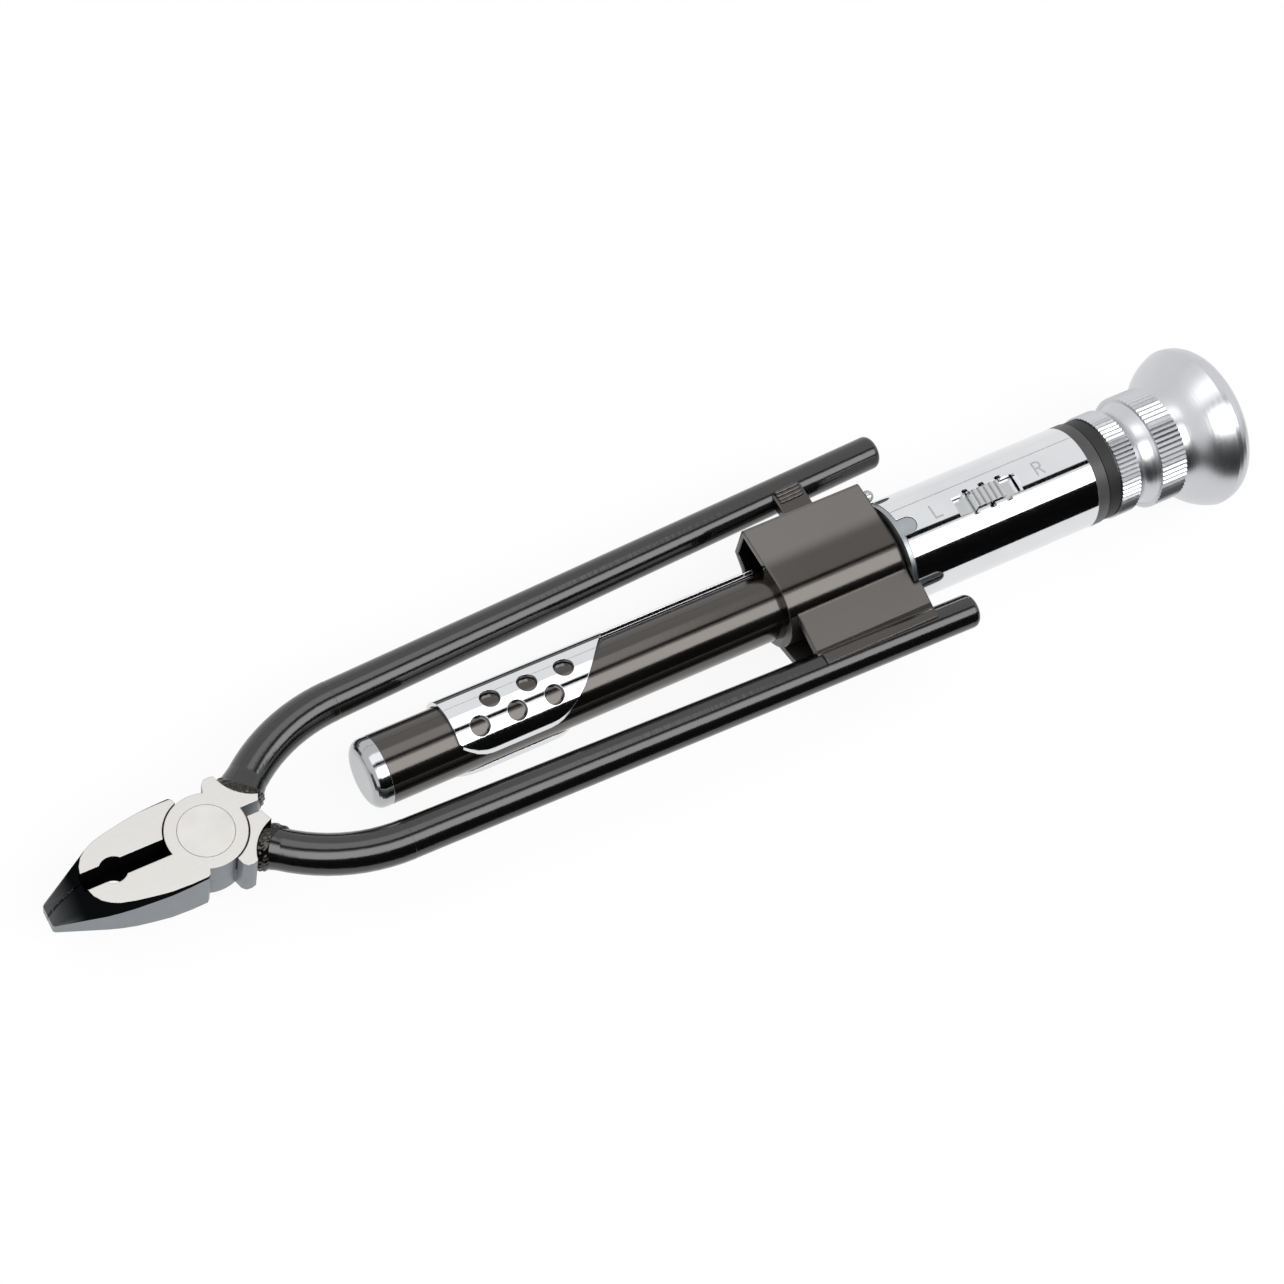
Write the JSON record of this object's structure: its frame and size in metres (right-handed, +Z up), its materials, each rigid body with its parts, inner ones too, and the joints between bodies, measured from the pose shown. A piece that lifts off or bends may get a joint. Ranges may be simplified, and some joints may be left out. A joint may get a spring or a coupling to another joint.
{
  "type": "safety wire pliers",
  "caption": "Safety wire pliers: hinged grip jaws with cutter, round black handles, thumb lock sleeve on a guide tube, reversible ratchet barrel and a spiral drive with a knurled pull knob.",
  "frame": {"origin": "on the pivot axis at the underside of the head, centre of the rivet's lower face", "axes": "+X from the pivot along the tube to the knob, +Y towards the moving handle, +Z up along the pivot axis"},
  "size_m": [0.2627, 0.0479, 0.0347],
  "materials": {
    "blackened_steel": "black finish with a ground bright head face",
    "bright_steel": "ground",
    "black_paint": "gloss black",
    "chrome": "mirror",
    "plain_steel": "satin",
    "bronze": "turned",
    "black_plastic": "matt",
    "black_rubber": "matt",
    "knob_aluminium": "bright turned and knurled"
  },
  "bodies": {
    "frame": {"fixed_jaw_handle": "blackened_steel", "pivot_rivet": "bright_steel", "tube_bracket": "black_paint", "stop_pin": "chrome", "guide_tube": "black_paint", "tube_cap": "chrome", "front_bush": "plain_steel", "barrel": "chrome", "pawl_pin": "plain_steel", "front_washer": "bronze", "rear_washer": "bronze", "end_ring": "black_plastic"},
    "moving_half": {"moving_jaw_handle": "blackened_steel", "latch_hook": "black_paint"},
    "lock": {"lock_sleeve": "chrome", "lock_catch": "chrome"},
    "selector": {"selector_slider": "plain_steel", "detent_spring": "plain_steel"},
    "pawl": {"rocker_pawl": "plain_steel"},
    "nut": {"drive_nut": "bronze", "ratchet_wheel": "plain_steel"},
    "collar": {"guide_collar": "bronze"},
    "spindle": {"spiral_shaft": "plain_steel", "collar_clip": "plain_steel", "bumper_ring": "black_rubber", "knob": "knob_aluminium", "knob_screw": "plain_steel"}
  },
  "joints": [
    {"name": "handle_pivot", "type": "hinge", "parent": "frame", "child": "moving_half", "pos_m": [0, 0, 0], "axis": [0, 0, 1], "range_deg": [0, 28]},
    {"name": "lock_slide", "type": "slide", "parent": "frame", "child": "lock", "axis": [1, 0, 0], "range_m": [-0.0028, 0]},
    {"name": "selector_slide", "type": "slide", "parent": "frame", "child": "selector", "axis": [1, 0, 0], "range_m": [-0.004, 0.004]},
    {"name": "pawl_rock", "type": "hinge", "parent": "frame", "child": "pawl", "pos_m": [0.1714, -0.00071, 0.01337], "axis": [1, 0, 0], "range_deg": [-5, 5]},
    {"name": "ratchet_spin", "type": "hinge", "parent": "frame", "child": "nut", "pos_m": [0.17, 0, 0.00525], "axis": [1, 0, 0], "continuous": true},
    {"name": "knob_pull", "type": "slide", "parent": "nut", "child": "collar", "axis": [1, 0, 0], "range_m": [0, 0.09]},
    {"name": "spindle_twist", "type": "hinge", "parent": "collar", "child": "spindle", "pos_m": [0.2, 0, 0.00525], "axis": [1, 0, 0], "range_deg": [0, 720.5]}
  ],
  "couplings": [
    {"joint": "pawl_rock", "follows": "selector_slide", "rad_per_m": 21.8},
    {"joint": "spindle_twist", "follows": "knob_pull", "rad_per_m": 139.63}
  ]
}
